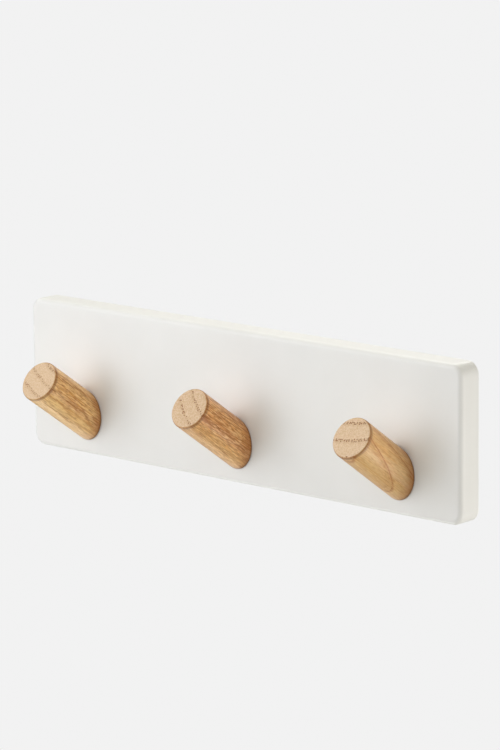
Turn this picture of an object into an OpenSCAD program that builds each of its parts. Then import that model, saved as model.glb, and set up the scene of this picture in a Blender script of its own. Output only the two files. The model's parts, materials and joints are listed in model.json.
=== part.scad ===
// Wall-mounted coat rail: a pressed steel shell that carries three slanted ash pegs.
// X runs right along the wall, Y runs into the wall and Z is up.
// The origin is at the middle of the rail on the wall's surface, the plane Y = 0.

/* [Shell] */
// Length of the rail along the wall
rail_w = 220; // [212:1:280]
// Height of the rail
rail_h = 60; // [60:1:90]
// Distance from the wall to the front face
front_out = 11; // [10.5:0.5:14]
// Gap between the wall and the rim of the shell
rim_gap = 1; // [0.5:0.1:1.4]
// Sheet thickness of the shell
shell_t = 1.2; // [0.8:0.1:1.4]
// Radius of the four corners, seen from the front
corner_r = 5; // [4.5:0.5:9]
// Radius of the pressed front edge
edge_r = 2; // [1.75:0.25:3.5]

/* [Pegs] */
// Distance from one peg to the next
peg_pitch = 80; // [60:1:83]
// Diameter of a peg
peg_d = 16.5; // [16:0.5:20]
// Length of a peg along its axis, from the front face to its end
peg_len = 32; // [28:1:60]
// Angle by which a peg points up
peg_tilt = 35; // [25:1:40]
// Distance of the peg bases below the middle of the rail
peg_drop = 14.4; // [14:0.1:15]
// Rounding of the edge of a peg's end
peg_end_r = 0.8; // [0.3:0.1:2]

/* [Stiffener bar] */
// Height of the bar behind the peg bases
bar_h = 24; // [20:1:24]
// Thickness of the bar
bar_t = 2; // [1.5:0.1:2.2]
// Length of the bar beyond the outer peg axes, at each end
bar_overhang = 10; // [9:0.5:11]
// Corner radius of the bar
bar_corner_r = 4; // [1:0.5:8]

/* [Peg screws] */
// Thread diameter
peg_screw_d = 3.5; // [3:0.1:4]
// Length under the head
peg_screw_len = 16; // [12:1:17]
// Head diameter
peg_screw_head_d = 6.6; // [6:0.1:7.4]
// Head height
peg_screw_head_h = 2.4; // [1.8:0.1:2.6]
// Distance between the two screws of one peg
peg_screw_pitch = 9; // [8.8:0.1:9.2]
// Height of the screws above the middle of the peg base
peg_screw_rise = 3; // [2:0.1:3.5]
// Washer diameter
washer_d = 7.6; // [7.4:0.1:8.6]
// Washer thickness
washer_t = 0.8; // [0.5:0.1:1]

/* [Back plate] */
// Thickness of the back plate
back_t = 1.5; // [1.3:0.1:2]
// Gap between the back plate and the shell's walls
back_gap = 0.3; // [0.2:0.1:0.8]
// Distance between the two keyholes
keyhole_pitch = 150; // [100:1:150]
// Diameter of the wide end of a keyhole, which takes a wall screw's head
keyhole_head_d = 10; // [9:0.5:10]
// Width of the narrow end of a keyhole, which takes a wall screw's neck
keyhole_neck_d = 5; // [4.5:0.1:5.5]
// Height of the wide end's centre above the middle of the rail
keyhole_rise = 6; // [5.5:0.5:9]
// Distance from the wide end's centre to the narrow end's centre
keyhole_travel = 8; // [7:0.5:9]

/* [Plate screws and standoffs] */
// Distance of the screws from the ends of the rail
screw_inset_x = 12; // [10:0.5:12]
// Distance of the screws from the top and bottom of the rail
screw_inset_z = 10; // [9:0.5:11]
// Thread diameter
plate_screw_d = 3; // [2.5:0.1:3]
// Whole length, head included
plate_screw_len = 6; // [5:0.5:7]
// Head diameter
plate_screw_head_d = 5.6; // [5:0.1:5.6]
// Standoff diameter
standoff_d = 6; // [5:0.1:6]

/* [Wall pads] */
// Pad diameter
pad_d = 10; // [8:0.5:11]
// Pad thickness
pad_t = 1.5; // [1.5:0.1:2]
// Rounding of the edge that touches the wall
pad_edge_r = 0.5; // [0.2:0.1:1]
// Distance of the corner pads from the plate screws, towards the middle
pad_offset = 12; // [10:0.5:14]

/* [Hidden] */
$fn = 96;

// Names of the repeated pieces, in the order of the lists of places below
PEGS = ["left", "middle", "right"];
SIDES = ["left", "right"];
CORNERS = ["top_right", "top_left", "bottom_left", "bottom_right"];
PADS = concat(CORNERS, ["middle"]);

function peg_node(i) = str("peg_", PEGS[i]);
function screw_node(i, j) = str("peg_screw_", PEGS[i], "_", SIDES[j]);
function washer_node(i, j) = str("washer_", PEGS[i], "_", SIDES[j]);
function standoff_node(k) = str("standoff_", CORNERS[k]);
function plate_screw_node(k) = str("plate_screw_", CORNERS[k]);
function pad_node(k) = str("wall_pad_", PADS[k]);

// Colours
coat_white = [0.93, 0.93, 0.92];
ash = [0.78, 0.62, 0.42];
zinc = [0.70, 0.71, 0.72];
rubber = [0.20, 0.20, 0.21];

// Distances out from the wall of the faces that the pieces share
back_inner = pad_t + back_t;
shell_inner = front_out - shell_t;
bar_back = shell_inner - bar_t;
washer_back = bar_back - washer_t;

// Places seen from the front, as [right, up]
screw_y = peg_screw_rise - peg_drop;
function peg_x(i) = (i - 1) * peg_pitch;
function peg_screw_at(i, j) = [peg_x(i) + (j - 0.5) * peg_screw_pitch, screw_y];
function corner_sign(k) = [k == 0 || k == 3 ? 1 : -1, k < 2 ? 1 : -1];
function plate_screw_at(k) = [
  corner_sign(k)[0] * (rail_w / 2 - screw_inset_x),
  corner_sign(k)[1] * (rail_h / 2 - screw_inset_z)
];
function pad_at(k) = k < 4 ? plate_screw_at(k) - [corner_sign(k)[0] * pad_offset, 0] : [0, 0];

peg_r = peg_d / 2;
running_gap = 0.02; // between a thread and the wall of its hole
through_gap = 0.15; // between a screw's thread and a hole it passes freely
bite = 1; // how far a cutting tool runs past the face it cuts

// Threads: the pitch, and how deep the groove runs
peg_thread_pitch = 1.3;
peg_thread_depth = 0.5;
peg_screw_tip = 3;
plate_thread_pitch = 0.5;
plate_thread_depth = 0.27;
countersink_h = (plate_screw_head_d - plate_screw_d) / 2;

// Cross recess: the slot's width and depth
recess_w = 0.8;
recess_h = 1.3;

// ---- Shared shapes. They stand on the wall: their z runs out from it, their y runs up. ----

// Turns a shape that stands on the plane z = 0 so that it stands on the wall
module on_wall() {
  rotate([90, 0, 0]) children();
}

// Half section r wide and h tall with its outer top corner rounded by e
module half_section(r, h, e) {
  square([r - e, h]);
  square([r, h - e]);
  translate([r - e, h - e]) intersection() {
    circle(e);
    square(e);
  }
}

// Block with round corners and a round front edge, standing on z = 0
module soft_block(w, h, depth, r, e) {
  translate([r - w / 2, r - h / 2, 0]) cube([w - 2 * r, h - 2 * r, depth]);
  for (k = [0:3]) {
    side_len = k % 2 == 0 ? h - 2 * r : w - 2 * r;
    translate([corner_sign(k)[0] * (w / 2 - r), corner_sign(k)[1] * (h / 2 - r), 0])
      rotate([0, 0, 90 * k]) {
        rotate_extrude(angle = 90) half_section(r, depth, e);
        rotate([90, 0, 0]) linear_extrude(side_len) half_section(r, depth, e);
      }
  }
}

// Rectangle with round corners, centred
module soft_rectangle(w, h, r) {
  square([w - 2 * r, h], center = true);
  square([w, h - 2 * r], center = true);
  for (x = [r - w / 2, w / 2 - r], y = [r - h / 2, h / 2 - r]) translate([x, y]) circle(r);
}

// Keyhole outline: a wide round end with a narrow slot above it
module keyhole() {
  circle(d = keyhole_head_d);
  translate([-keyhole_neck_d / 2, 0]) square([keyhole_neck_d, keyhole_travel]);
  translate([0, keyhole_travel]) circle(d = keyhole_neck_d);
}

// Threaded rod from z = 0 to z = len: ring-shaped ridges, and a point tip long if tip > 0
module thread(d, len, pitch, depth, tip) {
  body = len - tip;
  turns = floor(body / pitch);
  crest = d / 2;
  root = crest - depth;
  rotate_extrude() polygon(concat(
    [[0, 0], [root, 0]],
    [for (t = [0:turns - 1], p = [[root, 0.15], [crest, 0.5], [root, 0.85]]) [p[0], (t + p[1]) * pitch]],
    tip > 0 ? [[root, body], [0, len]] : [[root, len], [0, len]]
  ));
}

// Cross recess to cut into a screw head whose outer face is at z = 0, going up
module cross_recess(r) {
  intersection() {
    union() {
      translate([-r, -recess_w / 2, -bite]) cube([2 * r, recess_w, recess_h + bite]);
      translate([-recess_w / 2, -r, -bite]) cube([recess_w, 2 * r, recess_h + bite]);
    }
    translate([0, 0, -bite])
      cylinder(h = recess_h + bite, r1 = r * (1 + bite / recess_h), r2 = recess_w / 2);
  }
}

// ---- Sub-parts ----

// Pressed steel tray, open towards the wall, with a pair of screw holes at each peg
module front_shell() {
  color(coat_white) on_wall() difference() {
    translate([0, 0, rim_gap])
      soft_block(rail_w, rail_h, front_out - rim_gap, corner_r, edge_r);
    translate([0, 0, -bite])
      soft_block(
        rail_w - 2 * shell_t, rail_h - 2 * shell_t, shell_inner + bite, corner_r - shell_t, edge_r - shell_t
      );
    for (i = [0:2], j = [0:1])
      translate([each peg_screw_at(i, j), shell_inner - bite])
        cylinder(h = shell_t + 2 * bite, d = peg_screw_d + 2 * through_gap);
  }
}

// Steel strip inside the shell that spreads the pull of the peg screws
module stiffener_bar() {
  color(zinc) on_wall() translate([0, 0, bar_back]) linear_extrude(bar_t) difference() {
    translate([0, -peg_drop]) soft_rectangle(2 * (peg_pitch + bar_overhang), bar_h, bar_corner_r);
    for (i = [0:2], j = [0:1])
      translate(peg_screw_at(i, j)) circle(d = peg_screw_d + 2 * through_gap);
  }
}

// Steel plate that closes the back and hangs on two wall screws
module back_plate() {
  plate_w = rail_w - 2 * (shell_t + back_gap);
  plate_h = rail_h - 2 * (shell_t + back_gap);
  color(zinc) on_wall() translate([0, 0, pad_t]) difference() {
    linear_extrude(back_t) difference() {
      soft_rectangle(plate_w, plate_h, corner_r - shell_t - back_gap);
      for (side = [-1, 1]) translate([side * keyhole_pitch / 2, keyhole_rise]) keyhole();
      for (k = [0:3]) translate(plate_screw_at(k)) circle(d = plate_screw_d + 2 * through_gap);
    }
    for (k = [0:3])
      translate(plate_screw_at(k))
        cylinder(
          h = countersink_h,
          d1 = plate_screw_head_d + 2 * running_gap,
          d2 = plate_screw_d + 2 * running_gap
        );
  }
}

// Ash rod, cut slanting so that it sits flush on the shell, with two pilot holes in its foot
module peg(i) {
  tail = peg_r * tan(peg_tilt) + bite;
  pilot_depth = peg_screw_len - (front_out - washer_back);
  color(ash) on_wall() difference() {
    translate([peg_x(i), -peg_drop, front_out])
      rotate([-peg_tilt, 0, 0])
        translate([0, 0, -tail]) rotate_extrude() half_section(peg_r, peg_len + tail, peg_end_r);
    translate([peg_x(i) - peg_d, -peg_drop - 2 * peg_d, front_out - 2 * peg_d])
      cube([2 * peg_d, 4 * peg_d, 2 * peg_d]);
    for (j = [0:1])
      translate([each peg_screw_at(i, j), front_out - bite]) {
        cylinder(h = pilot_depth - peg_screw_tip + bite, d = peg_screw_d + 2 * running_gap);
        translate([0, 0, pilot_depth - peg_screw_tip + bite])
          cylinder(h = peg_screw_tip + running_gap, d1 = peg_screw_d + 2 * running_gap, d2 = running_gap);
      }
  }
}

// Pan head wood screw that pulls a peg onto the shell from inside
module peg_screw(i, j) {
  head_edge_r = peg_screw_head_h / 3;
  color(zinc) on_wall() translate([each peg_screw_at(i, j), washer_back]) difference() {
    union() {
      thread(peg_screw_d, peg_screw_len, peg_thread_pitch, peg_thread_depth, peg_screw_tip);
      mirror([0, 0, 1])
        rotate_extrude() half_section(peg_screw_head_d / 2, peg_screw_head_h, head_edge_r);
    }
    translate([0, 0, -peg_screw_head_h]) cross_recess(peg_screw_head_d / 4);
  }
}

// Flat washer between the screw head and the stiffener bar
module washer(i, j) {
  color(zinc) on_wall() translate([each peg_screw_at(i, j), washer_back])
    linear_extrude(washer_t) difference() {
      circle(d = washer_d);
      circle(d = peg_screw_d + 2 * through_gap);
    }
}

// Threaded tube welded inside the shell, which the back plate is screwed to
module standoff(k) {
  color(zinc) on_wall() translate([each plate_screw_at(k), back_inner])
    linear_extrude(shell_inner - back_inner) difference() {
      circle(d = standoff_d);
      circle(d = plate_screw_d + 2 * running_gap);
    }
}

// Countersunk machine screw that holds the back plate on its standoff
module plate_screw(k) {
  color(zinc) on_wall() translate([each plate_screw_at(k), pad_t]) difference() {
    union() {
      cylinder(h = countersink_h, d1 = plate_screw_head_d, d2 = plate_screw_d);
      translate([0, 0, countersink_h])
        thread(plate_screw_d, plate_screw_len - countersink_h, plate_thread_pitch, plate_thread_depth, 0);
    }
    cross_recess(plate_screw_head_d / 3.5);
  }
}

// Rubber pad that keeps the rail off the paint of the wall
module wall_pad(k) {
  color(rubber) on_wall() translate([each pad_at(k), pad_t])
    mirror([0, 0, 1]) rotate_extrude() half_section(pad_d / 2, pad_t, pad_edge_r);
}

front_shell();
stiffener_bar();
back_plate();
for (i = [0:2]) {
  peg(i);
  for (j = [0:1]) {
    peg_screw(i, j);
    washer(i, j);
  }
}
for (k = [0:3]) {
  standoff(k);
  plate_screw(k);
}
for (k = [0:4]) {
  wall_pad(k);
}
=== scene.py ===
"""Looks of a wall-mounted coat rail: a white powder-coated steel plate with three slanted ash pegs."""

import json
import math

import bmesh
import bpy
from mathutils import Matrix, Vector


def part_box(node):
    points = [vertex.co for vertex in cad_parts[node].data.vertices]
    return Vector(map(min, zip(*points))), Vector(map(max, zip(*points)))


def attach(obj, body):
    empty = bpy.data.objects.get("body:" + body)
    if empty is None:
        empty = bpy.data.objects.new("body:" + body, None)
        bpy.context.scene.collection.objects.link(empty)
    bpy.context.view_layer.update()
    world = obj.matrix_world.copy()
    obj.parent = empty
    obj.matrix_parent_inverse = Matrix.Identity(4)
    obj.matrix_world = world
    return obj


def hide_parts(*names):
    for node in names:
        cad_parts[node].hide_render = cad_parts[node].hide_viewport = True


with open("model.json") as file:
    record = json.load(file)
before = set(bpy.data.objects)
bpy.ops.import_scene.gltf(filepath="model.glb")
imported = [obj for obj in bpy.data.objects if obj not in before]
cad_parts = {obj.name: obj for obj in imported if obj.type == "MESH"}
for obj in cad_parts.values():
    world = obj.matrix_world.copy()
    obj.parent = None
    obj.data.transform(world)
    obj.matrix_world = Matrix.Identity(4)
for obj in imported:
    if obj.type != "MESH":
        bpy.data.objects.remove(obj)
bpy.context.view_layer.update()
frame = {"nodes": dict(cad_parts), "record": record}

MM = 0.001

# ---- Places worked out from the frame ----

SHELL_LOW, SHELL_HIGH = (Vector(corner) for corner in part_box("front_shell"))
RAIL_MIDDLE = (SHELL_LOW + SHELL_HIGH) / 2
PEG_MOUNTS = {
    side: next(mount for mount in frame["record"]["mounts"] if mount["name"] == f"peg_{side}_hook")
    for side in ("left", "middle", "right")
}


# ---- Node helpers ----


class Nodes:
    """A node tree with short calls for the nodes used here."""

    def __init__(self, tree):
        self.tree = tree

    def put(self, socket, value):
        """Links an output to the socket, or sets the socket to a plain value."""
        if isinstance(value, bpy.types.NodeSocket):
            self.tree.links.new(value, socket)
        elif isinstance(value, (tuple, list)) and len(socket.default_value) == 4 and len(value) == 3:
            socket.default_value = (*value, 1)
        else:
            socket.default_value = value

    def node(self, kind, inputs=None, **settings):
        made = self.tree.nodes.new(kind)
        for key, value in settings.items():
            setattr(made, key, value)
        for key, value in (inputs or {}).items():
            self.put(made.inputs[key], value)
        return made

    def math(self, operation, a, b=0.0, c=0.0):
        return self.node("ShaderNodeMath", {0: a, 1: b, 2: c}, operation=operation).outputs[0]

    def plus(self, a, b):
        return self.math("ADD", a, b)

    def minus(self, a, b):
        return self.math("SUBTRACT", a, b)

    def times(self, first, *others):
        for other in others:
            first = self.math("MULTIPLY", first, other)
        return first

    def times_plus(self, a, factor, added):
        return self.math("MULTIPLY_ADD", a, factor, added)

    def hypotenuse(self, a, b):
        return self.math("SQRT", self.plus(self.times(a, a), self.times(b, b)))

    def split(self, vector):
        return self.node("ShaderNodeSeparateXYZ", {0: vector}).outputs

    def joined(self, x, y, z):
        return self.node("ShaderNodeCombineXYZ", {0: x, 1: y, 2: z}).outputs[0]

    def place(self):
        """The surface point in the piece's own frame, in metres."""
        return self.node("ShaderNodeTexCoord").outputs["Object"]

    def stretched(self, point, scale, offset=(0, 0, 0)):
        made = self.node("ShaderNodeMapping", {"Vector": point, "Scale": scale, "Location": offset})
        return made.outputs[0]

    def noise(self, point, scale, detail=2.0, roughness=0.5):
        made = self.node(
            "ShaderNodeTexNoise",
            {"Vector": point, "Scale": scale, "Detail": detail, "Roughness": roughness},
        )
        return made.outputs["Fac"]

    def cells(self, point, scale, randomness=1.0):
        inputs = {"Vector": point, "Scale": scale, "Randomness": randomness}
        return self.node("ShaderNodeTexVoronoi", inputs).outputs

    def ramp(self, value, low, high, out_low=0.0, out_high=1.0, kind="SMOOTHSTEP"):
        """Maps value from low..high to out_low..out_high, held beyond the ends."""
        made = self.node(
            "ShaderNodeMapRange",
            {"Value": value, "From Min": low, "From Max": high, "To Min": out_low, "To Max": out_high},
            interpolation_type=kind,
        )
        return made.outputs["Result"]

    def mix(self, factor, a, b):
        made = self.node("ShaderNodeMix", data_type="RGBA")
        self.put(made.inputs[0], factor)
        self.put(made.inputs[6], a)
        self.put(made.inputs[7], b)
        return made.outputs[2]

    def bump(self, height, distance, strength=1.0, normal=None):
        made = self.node("ShaderNodeBump", {"Height": height, "Distance": distance, "Strength": strength})
        if normal is not None:
            self.put(made.inputs["Normal"], normal)
        return made.outputs["Normal"]


class Material(Nodes):
    """A new material whose Principled shader is filled in by finish."""

    def __init__(self, name):
        self.material = bpy.data.materials.new(name)
        self.material.use_nodes = True
        super().__init__(self.material.node_tree)
        self.shader = self.tree.nodes["Principled BSDF"]

    def finish(self, **sockets):
        for key, value in sockets.items():
            self.put(self.shader.inputs[key.replace("_", " ")], value)
        return self.material


# ---- Materials of the CAD nodes ----


def powder_coat():
    """Satin white powder coat: a fine orange-peel relief and slightly uneven gloss."""
    n = Material("white_powder_coat")
    place = n.place()
    peel = n.noise(place, 900.0, 3.0, 0.55)
    grit = n.noise(place, 4200.0, 2.0, 0.5)
    cloud = n.noise(place, 38.0, 3.0, 0.5)
    relief = n.bump(peel, 0.012 * MM, 0.4)
    return n.finish(
        Base_Color=n.mix(n.ramp(cloud, 0.3, 0.7), (0.838, 0.836, 0.812), (0.862, 0.860, 0.838)),
        Roughness=n.ramp(peel, 0.25, 0.75, 0.42, 0.52),
        Normal=n.bump(grit, 0.008 * MM, 0.4, relief),
        Metallic=0.0,
        IOR=1.5,
    )


def zinc_sheet():
    """Zinc-plated sheet: cool grey with a faint crystal mottling and fine rolling marks."""
    n = Material("zinc_plated_sheet")
    place = n.place()
    crystal = n.cells(place, 420.0)["Color"]
    cloud = n.noise(place, 45.0, 4.0, 0.6)
    rolled = n.noise(n.stretched(place, (14, 900, 900)), 1.0, 3.0, 0.6)
    shade = n.node("ShaderNodeSeparateColor", {0: crystal}).outputs[0]
    tone = n.mix(shade, (0.50, 0.515, 0.53), (0.58, 0.59, 0.60))
    return n.finish(
        Base_Color=n.mix(n.ramp(cloud, 0.3, 0.75, 0.0, 0.3), tone, (0.46, 0.47, 0.48)),
        Roughness=n.ramp(n.plus(n.times(shade, 0.4), rolled), 0.3, 1.1, 0.40, 0.49),
        Normal=n.bump(rolled, 0.015 * MM, 0.5),
        Metallic=1.0,
    )


def screw_steel():
    """Bright zinc-plated fasteners with a slight blue cast and tumbling marks."""
    n = Material("bright_zinc_fastener")
    scuff = n.noise(n.place(), 1300.0, 4.0, 0.65)
    return n.finish(
        Base_Color=n.mix(n.ramp(scuff, 0.35, 0.7), (0.60, 0.62, 0.65), (0.47, 0.48, 0.50)),
        Roughness=n.ramp(scuff, 0.3, 0.7, 0.24, 0.42),
        Normal=n.bump(scuff, 0.01 * MM, 0.5),
        Metallic=1.0,
    )


def pad_rubber():
    """Matt moulded rubber with a fine grain and dusty high spots."""
    n = Material("wall_pad_rubber")
    place = n.place()
    grain = n.noise(place, 3200.0, 3.0, 0.6)
    dust = n.noise(place, 260.0, 4.0, 0.6)
    return n.finish(
        Base_Color=n.mix(n.ramp(dust, 0.45, 0.8, 0.0, 0.6), (0.035, 0.035, 0.037), (0.085, 0.083, 0.08)),
        Roughness=n.ramp(grain, 0.3, 0.7, 0.72, 0.9),
        Normal=n.bump(grain, 0.03 * MM, 0.6),
        Metallic=0.0,
    )


SLOT_MATERIALS = {
    "white_powder_coat": powder_coat(),
    "zinc_plated_steel": zinc_sheet(),
    "screw_steel": screw_steel(),
    "grey_rubber": pad_rubber(),
}


def dress_cad_nodes():
    """Gives every CAD node but the pegs, which have meshes of their own, the material of its slot."""
    for subpart in frame["record"]["subparts"]:
        material = SLOT_MATERIALS.get(subpart["material_slot"])
        if material:
            for material_slot in frame["nodes"][subpart["node"]].material_slots:
                material_slot.material = material


# ---- Ash wood ----

# Spacing of the pores across the rings, along the rings and along the peg, in mm
ROW_PITCH = 0.56
PORE_PITCH = 1.05
PORE_LENGTH = 5.0

# Colours of marks that all pegs share
SPRING_TONE = (0.44, 0.150, 0.026)
PORE_TONE = (0.25, 0.070, 0.010)
GLINT_TONE = (1.0, 0.65, 0.30)
# Painted light: the paler tone given to the peg's underside
UNDERSIDE_LIGHT_TONE = (1.0, 0.76, 0.38)
RAY_TONE = (0.52, 0.32, 0.16)
SPECK_TONE = (0.86, 0.68, 0.49)
END_RING_TONE = (0.47, 0.26, 0.11)
# Painted shade: the dark line on the end's rounded edge and along the foot's edge
EDGE_SHADE_TONE = (0.21, 0.062, 0.013)
# Painted shade near the foot, strongest on its far side, where the plate and the peg keep the light off
FOOT_SHADE_TONE = (0.46, 0.155, 0.028)

# The block of ash that each peg is cut from. The tones are the colours of the side, of its dark streaks and
# of the end grain. streaking, side_pores, ring_lines, end_pores and underside_light say how strongly the fine
# dark streaks, the pores on the side, the ring lines, the pores on the end and the painted light on the
# underside show.
# across is the direction across the rings in degrees; row is the place of one pore row along it, ring_width
# the width of a ring and heart the distance of the tree's heart, all in mm at the peg's end. climb is how
# much the rings lean along the peg, and seed sets where the block lies in the noise patterns.
WOODS = {
    "left": {
        "side_tone": (0.96, 0.640, 0.270),
        "streak_tone": (0.70, 0.325, 0.066),
        "end_tone": (0.67, 0.460, 0.265),
        "streaking": 0.64,
        "side_pores": 0.46,
        "ring_lines": 0.50,
        "end_pores": 0.70,
        "underside_light": 0.36,
        "across": 61,
        "row": 1.6,
        "ring_width": 5.6,
        "heart": 45,
        "climb": 0.03,
        "seed": 11.3,
    },
    "middle": {
        "side_tone": (0.87, 0.450, 0.150),
        "streak_tone": (0.49, 0.168, 0.027),
        "end_tone": (0.64, 0.430, 0.245),
        "streaking": 0.80,
        "side_pores": 0.44,
        "ring_lines": 0.50,
        "end_pores": 1.00,
        "underside_light": 0.28,
        "across": 47,
        "row": 3.9,
        "ring_width": 5.9,
        "heart": 50,
        "climb": 0.02,
        "seed": 4.7,
    },
    "right": {
        "side_tone": (0.72, 0.470, 0.212),
        "streak_tone": (0.65, 0.362, 0.118),
        "end_tone": (0.71, 0.500, 0.305),
        "streaking": 0.30,
        "side_pores": 0.20,
        "ring_lines": 0.95,
        "end_pores": 1.00,
        "underside_light": 0.12,
        "across": 99,
        "row": -0.8,
        "ring_width": 6.8,
        "heart": 40,
        "climb": 0.267,
        "seed": 23.9,
    },
}


def growth_rings(n, wood, place, length):
    """Counts the rings outward from the chosen pore row, and gives the distance sideways along them."""
    height = n.split(place)[2]
    drift = n.minus(n.noise(n.stretched(place, (70, 70, 18), (wood["seed"], 0, 0)), 1.0), 0.5)
    turned = n.node(
        "ShaderNodeVectorRotate",
        {"Vector": place, "Angle": -math.radians(wood["across"])},
        rotation_type="Z_AXIS",
    ).outputs[0]
    inward, sideways, _ = n.split(turned)
    radius = n.hypotenuse(sideways, n.minus(wood["heart"] * MM, inward))
    leaning = n.times_plus(n.minus(height, length), wood["climb"], radius)
    wavy = n.times_plus(drift, 1.6 * MM, leaning)
    from_row = n.minus(wavy, (wood["heart"] - wood["row"]) * MM)
    return n.times(from_row, 1 / (wood["ring_width"] * MM)), sideways


def ring_pores(n, wood, rings, sideways, height, on_end):
    """Open pores in cells that follow the rings, kept only in the first two rows of each ring."""
    rows_in_ring = round(wood["ring_width"] / ROW_PITCH)
    spot = n.joined(
        n.times_plus(rings, rows_in_ring, 10 * rows_in_ring),
        n.times(sideways, 1 / (PORE_PITCH * MM)),
        n.times_plus(height, 1 / (PORE_LENGTH * MM), wood["seed"]),
    )
    centre = n.cells(spot, 1.0, randomness=0.75)["Position"]
    off = n.split(n.node("ShaderNodeVectorMath", {0: spot, 1: centre}, operation="SUBTRACT").outputs[0])
    distance = n.hypotenuse(n.times(off[0], ROW_PITCH), n.times(off[1], PORE_PITCH))
    row_in_ring = n.math("MODULO", n.math("FLOOR", n.split(centre)[0]), rows_in_ring)
    in_first_rows = n.math("LESS_THAN", row_in_ring, 1.5)
    between_ends = n.math("LESS_THAN", n.math("ABSOLUTE", off[2]), 0.42)
    rim = n.times_plus(on_end, 0.09, 0.27)
    return n.times(n.ramp(distance, 0.11, rim, 1.0, 0.0), in_first_rows, between_ends)


def side_grain(n, wood, place, spring_band, ring_edge, fine_pore, fibre):
    """The peg's long side: streaks, ring lines, fine dark marks, glints and painted light that makes the
    underside paler.
    """
    seed, streaking = wood["seed"], wood["streaking"]
    streak = n.noise(n.stretched(place, (1250, 1250, 70), (0, 0, seed)), 1.0, 3.0, 0.6)
    cloud = n.noise(n.stretched(place, (150, 150, 50), (seed, seed, 0)), 1.0, 2.0, 0.5)
    tick = n.noise(n.stretched(place, (1700, 1700, 300), (0, seed, seed)), 1.0, 1.0)
    glint = n.noise(n.stretched(place, (2400, 2400, 260), (seed, seed, seed)), 1.0, 2.0, 0.5)
    # Painted light: a mask that is full on the underside of the peg
    underside_light_mask = n.ramp(n.split(place)[1], -2.0 * MM, -8.0 * MM)
    tone = wood["side_tone"]
    for strength, mark_tone in (
        (n.ramp(streak, 0.46, 0.60), wood["streak_tone"]),
        (n.ramp(cloud, 0.35, 0.7, 0.0, 0.4), wood["streak_tone"]),
        (n.times(spring_band, 0.25), SPRING_TONE),
        (n.times(ring_edge, wood["ring_lines"]), SPRING_TONE),
        (n.times(fine_pore, 0.7 * streaking), SPRING_TONE),
        (n.times(n.ramp(tick, 0.50, 0.66), streaking), SPRING_TONE),
        (n.ramp(fibre, 0.45, 0.68, 0.0, streaking), SPRING_TONE),
        (n.ramp(glint, 0.50, 0.66, 0.0, 0.9 * streaking), GLINT_TONE),
        # Painted light: the underside is made paler, as if lit from below
        (n.times(underside_light_mask, wood["underside_light"]), UNDERSIDE_LIGHT_TONE),
    ):
        tone = n.mix(strength, tone, mark_tone)
    return tone


def end_grain(n, wood, place, rings, sideways, spring_band, fine_pore):
    """The peg's sawn end: fine rays across the rings, pale specks and darker spring wood."""
    seed = wood["seed"]
    across_rings = n.joined(n.times(rings, 4.0), n.times(sideways, 1900.0), n.split(place)[2])
    rays = n.noise(across_rings, 1.0, 2.0, 0.5)
    speck = n.noise(n.stretched(place, (2300, 2300, 900), (seed, 0, seed)), 1.0, 2.0, 0.6)
    tone = wood["end_tone"]
    for strength, mark_tone in (
        (n.ramp(rays, 0.35, 0.65, 0.0, 0.30), RAY_TONE),
        (n.ramp(speck, 0.40, 0.60, 0.0, 0.50), SPECK_TONE),
        (n.times(spring_band, 0.25), END_RING_TONE),
        (n.times(fine_pore, 0.18), SPRING_TONE),
    ):
        tone = n.mix(strength, tone, mark_tone)
    return tone


def painted_edge_and_foot_shade(n, tone, place, length, slope):
    """Paints shade into the wood's colour: a dark line on the end's rounded edge, a contact shadow along the
    foot's edge and shade towards the foot's far side.
    """
    x, y, height = n.split(place)
    above_foot = n.times_plus(y, -slope, height)
    # Painted shade: a dark line on the end's rounded edge and a contact shadow along the foot's edge
    end_edge_shade = n.times(
        n.ramp(height, length - 1.9 * MM, length - 0.8 * MM),
        n.ramp(height, length - 0.30 * MM, length - 0.06 * MM, 1.0, 0.0),
    )
    edge_shade = n.math("MAXIMUM", end_edge_shade, n.ramp(above_foot, 0.4 * MM, 1.9 * MM, 1.0, 0.0))
    far_side = n.ramp(x, -3.0 * MM, 8.0 * MM)
    # Painted shade near the foot, strongest on its far side
    foot_shade = n.times(n.ramp(above_foot, 0.5 * MM, 7.0 * MM, 1.0, 0.0), far_side)
    tone = n.mix(n.times(foot_shade, 0.62), tone, FOOT_SHADE_TONE)
    return n.mix(n.times(edge_shade, 0.60), tone, EDGE_SHADE_TONE)


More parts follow.
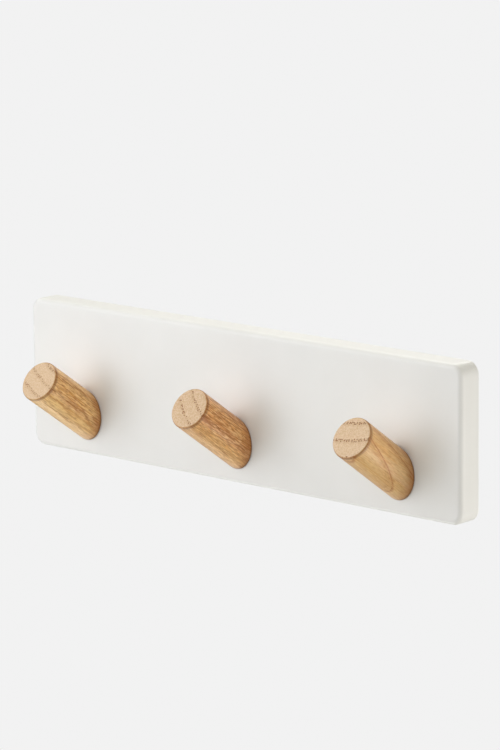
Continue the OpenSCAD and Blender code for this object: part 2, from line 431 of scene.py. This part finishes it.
def ash(name, wood, length, slope):
    """Lacquered ash as one solid block of wood: growth rings with rows of pores, cut by the peg's surface.

    The block's Z runs along the peg, whose end lies at length; slope is the rise of the slanting foot.
    """
    n = Material(name)
    place = n.place()
    height = n.split(place)[2]
    seed = wood["seed"]
    on_end = n.ramp(height, length - 0.20 * MM, length - 0.05 * MM)
    rings, sideways = growth_rings(n, wood, place, length)
    phase = n.math("FRACT", rings)
    spring_band = n.times(n.ramp(phase, 0.0, 0.03), n.ramp(phase, 0.12, 0.34, 1.0, 0.0))
    ring_edge = n.ramp(phase, 0.91, 0.975)
    pore = ring_pores(n, wood, rings, sideways, height, on_end)
    fine_cells = n.cells(n.stretched(place, (1500, 1500, 260), (3 * seed, seed, 0)), 1.0)
    fine_pore = n.ramp(fine_cells["Distance"], 0.14, 0.42, 1.0, 0.0)
    fibre = n.noise(n.stretched(place, (2400, 2400, 170), (0, seed, 0)), 1.0, 3.0, 0.6)

    side = side_grain(n, wood, place, spring_band, ring_edge, fine_pore, fibre)
    end = end_grain(n, wood, place, rings, sideways, spring_band, fine_pore)
    pore_strength = n.ramp(on_end, 0.0, 1.0, wood["side_pores"], wood["end_pores"])
    tone = n.mix(n.times(pore, pore_strength), n.mix(on_end, side, end), PORE_TONE)

    hollow = n.minus(1.0, n.math("MAXIMUM", pore, n.times(fine_pore, 0.3)))
    relief = n.bump(fibre, 0.03 * MM, 0.3)
    return n.finish(
        # The colour gets painted shade on the end's edge and around the foot
        Base_Color=painted_edge_and_foot_shade(n, tone, place, length, slope),
        Roughness=n.ramp(pore, 0.0, 1.0, 0.40, 0.80),
        Normal=n.bump(hollow, 0.10 * MM, 0.6, relief),
        Metallic=0.0,
        IOR=1.47,
    )


# ---- Pegs ----

# Points round the peg, and rows of faces along it, round its end's edge, and on each of its two flat ends
PEG_SIDES = 160
PEG_RINGS = 72
EDGE_STEPS = 8
END_RINGS = 18
END_ROUNDING = 0.8 * MM
FOOT_CHAMFER = 0.45 * MM


def peg_mesh(name, radius, length, tilt):
    """A closed round rod along +Z, from a slanting foot through the origin to an end with a rounded edge."""
    mesh = bmesh.new()
    slope = math.tan(tilt)

    def ring(ring_radius, height_at):
        made = []
        for k in range(PEG_SIDES):
            angle = 2 * math.pi * k / PEG_SIDES
            x, y = ring_radius * math.cos(angle), ring_radius * math.sin(angle)
            made.append(mesh.verts.new((x, y, height_at(y))))
        return made

    foot_radius = radius - FOOT_CHAMFER
    rings = [ring(foot_radius * (k + 1) / END_RINGS, lambda y: y * slope) for k in range(END_RINGS)]
    rings.append(ring(radius, lambda y: y * slope + FOOT_CHAMFER))
    top = length - END_ROUNDING
    for k in range(1, PEG_RINGS + 1):
        part = k / PEG_RINGS
        rings.append(ring(radius, lambda y: (1 - part) * (y * slope + FOOT_CHAMFER) + part * top))
    for k in range(1, EDGE_STEPS + 1):
        turn = math.pi / 2 * k / EDGE_STEPS
        height = top + END_ROUNDING * math.sin(turn)
        rings.append(ring(radius - END_ROUNDING * (1 - math.cos(turn)), lambda y: height))
    flat = radius - END_ROUNDING
    for k in range(1, END_RINGS):
        rings.append(ring(flat * (1 - k / END_RINGS), lambda y: length))

    for lower, upper in zip(rings, rings[1:]):
        for k in range(PEG_SIDES):
            j = (k + 1) % PEG_SIDES
            mesh.faces.new((lower[k], lower[j], upper[j], upper[k]))
    foot = mesh.verts.new((0, 0, 0))
    tip = mesh.verts.new((0, 0, length))
    for k in range(PEG_SIDES):
        j = (k + 1) % PEG_SIDES
        mesh.faces.new((foot, rings[0][j], rings[0][k]))
        mesh.faces.new((tip, rings[-1][k], rings[-1][j]))
    data = bpy.data.meshes.new(name)
    mesh.to_mesh(data)
    mesh.free()
    for face in data.polygons:
        face.use_smooth = True
    return data


def add_peg(side):
    """A finer peg in place of the CAD one, with its axis, length and radius taken from the peg's mount."""
    mount = PEG_MOUNTS[side]
    direction = Vector(mount["axis"]).normalized()
    length = mount["dims"]["length_mm"] * MM
    radius = mount["dims"]["r_mm"] * MM
    foot_centre = Vector(mount["pos_m"]) - direction * length
    tilt = math.asin(direction.z)
    name = f"turned_peg_{side}"
    piece = bpy.data.objects.new(name, peg_mesh(name, radius, length, tilt))
    bpy.context.scene.collection.objects.link(piece)
    # Local +Z follows the peg, local +X stays level along the wall
    lean = Matrix.Rotation(math.pi / 2 - tilt, 4, "X")
    piece.matrix_world = Matrix.Translation(foot_centre) @ lean
    piece.data.materials.append(ash(f"ash_{side}", WOODS[side], length, math.tan(tilt)))
    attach(piece, "root")
    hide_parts(f"peg_{side}")


# ---- Floor, light and camera ----

# Linear value of the pale studio background
PALE = 0.887
# Warm light all round and slightly cool main lights warm the shadows and leave the lit plate as it is
SURROUND_TONE = (1.03, 0.985, 0.82)
COOL_WHITE = (0.98, 1.0, 1.06)
WARM_WHITE = (1.0, 0.98, 0.955)
NEUTRAL = (1.0, 1.0, 1.0)
NADIR_LIGHT = 0.42
ZENITH_LIGHT = 0.57
# Distances in metres
SOFTBOX_DISTANCE = 0.75
FLOOR_HALF = 40.0
FLOOR_DROP = 3.0

# Lens in mm, place in metres from the rail's middle, and angles in degrees
CAMERA_LENS = 171.4
CAMERA_FROM_MIDDLE = Vector((0.8957, -0.9918, 0.2893))
CAMERA_TURN = 41.99
CAMERA_DIP = -11.74
CAMERA_ROLL = 0.68


def add_floor():
    """Plain pale floor, far enough below the wall-held rail to leave its underside in view."""
    data = bpy.data.meshes.new("floor")
    corners = [
        (x * FLOOR_HALF, y * FLOOR_HALF, -FLOOR_DROP) for x, y in ((-1, -1), (1, -1), (1, 1), (-1, 1))
    ]
    data.from_pydata(corners, [], [(0, 1, 2, 3)])
    floor = bpy.data.objects.new("floor", data)
    bpy.context.scene.collection.objects.link(floor)
    n = Material("pale_floor")
    data.materials.append(
        n.finish(
            Base_Color=(0, 0, 0),
            Roughness=1.0,
            Specular_IOR_Level=0.0,
            Emission_Color=(PALE, PALE, PALE),
            Emission_Strength=1.0,
        )
    )
    floor.visible_diffuse = False
    floor.visible_glossy = False


def set_world():
    """Soft light from above and below that fades out at eye level; the camera sees a pale background."""
    world = bpy.data.worlds.new("studio")
    bpy.context.scene.world = world
    world.use_nodes = True
    world.node_tree.nodes.clear()
    n = Nodes(world.node_tree)
    rise = n.split(n.node("ShaderNodeTexCoord").outputs["Generated"])[2]
    above = n.ramp(rise, 0, 1, 0.0, ZENITH_LIGHT, kind="LINEAR")
    below = n.ramp(rise, -1, 0, NADIR_LIGHT, 0.0, kind="LINEAR")
    light = n.node("ShaderNodeBackground", {0: SURROUND_TONE, 1: n.plus(above, below)})
    seen = n.node("ShaderNodeBackground", {0: (PALE, PALE, PALE)})
    is_camera = n.node("ShaderNodeLightPath").outputs["Is Camera Ray"]
    mixed = n.node("ShaderNodeMixShader", {0: is_camera, 1: light.outputs[0], 2: seen.outputs[0]})
    n.node("ShaderNodeOutputWorld", {0: mixed.outputs[0]})


def add_softbox(name, azimuth, elevation, size, energy, colour):
    """A square light aimed at the frame's origin, behind the rail's middle.

    azimuth and elevation are in degrees; azimuth 0 is straight in front and grows to the right.
    """
    turn, rise = math.radians(azimuth), math.radians(elevation)
    place = SOFTBOX_DISTANCE * Vector(
        (math.sin(turn) * math.cos(rise), -math.cos(turn) * math.cos(rise), math.sin(rise))
    )
    data = bpy.data.lights.new(name, "AREA")
    data.energy = energy
    data.color = colour
    data.shape = "SQUARE"
    data.size = size
    lamp = bpy.data.objects.new(name, data)
    bpy.context.scene.collection.objects.link(lamp)
    lamp.visible_camera = False
    lamp.location = place
    lamp.rotation_mode = "QUATERNION"
    lamp.rotation_quaternion = (-place).to_track_quat("-Z", "Y")


def add_camera():
    data = bpy.data.cameras.new("camera")
    data.sensor_width = 36.0
    data.lens = CAMERA_LENS
    data.clip_end = 200.0
    camera = bpy.data.objects.new("camera", data)
    bpy.context.scene.collection.objects.link(camera)
    turn = (
        Matrix.Rotation(math.radians(CAMERA_TURN), 4, "Z")
        @ Matrix.Rotation(math.radians(CAMERA_DIP), 4, "X")
        @ Matrix.Rotation(math.radians(CAMERA_ROLL), 4, "Y")
        @ Matrix.Rotation(math.pi / 2, 4, "X")
    )
    camera.matrix_world = Matrix.Translation(RAIL_MIDDLE + CAMERA_FROM_MIDDLE) @ turn
    bpy.context.scene.camera = camera


for peg_side in PEG_MOUNTS:
    add_peg(peg_side)
dress_cad_nodes()
add_floor()
set_world()
add_softbox("softbox_key", -35, 15, 0.40, 1.20, COOL_WHITE)
add_softbox("softbox_broad", -40, 12, 0.90, 3.05, COOL_WHITE)
add_softbox("softbox_front_right", 20, 20, 0.40, 1.66, NEUTRAL)
add_softbox("softbox_low_left", -80, -60, 0.40, 1.80, NEUTRAL)
add_softbox("softbox_high_behind", -150, 45, 0.40, 3.07, NEUTRAL)
add_softbox("softbox_right", 105, -34, 0.40, 2.40, WARM_WHITE)
add_softbox("softbox_behind_right", 115, 0, 0.40, 1.43, WARM_WHITE)
add_softbox("softbox_back", 180, -8, 0.22, 0.60, NEUTRAL)
add_camera()
bpy.context.scene.view_settings.view_transform = "Standard"
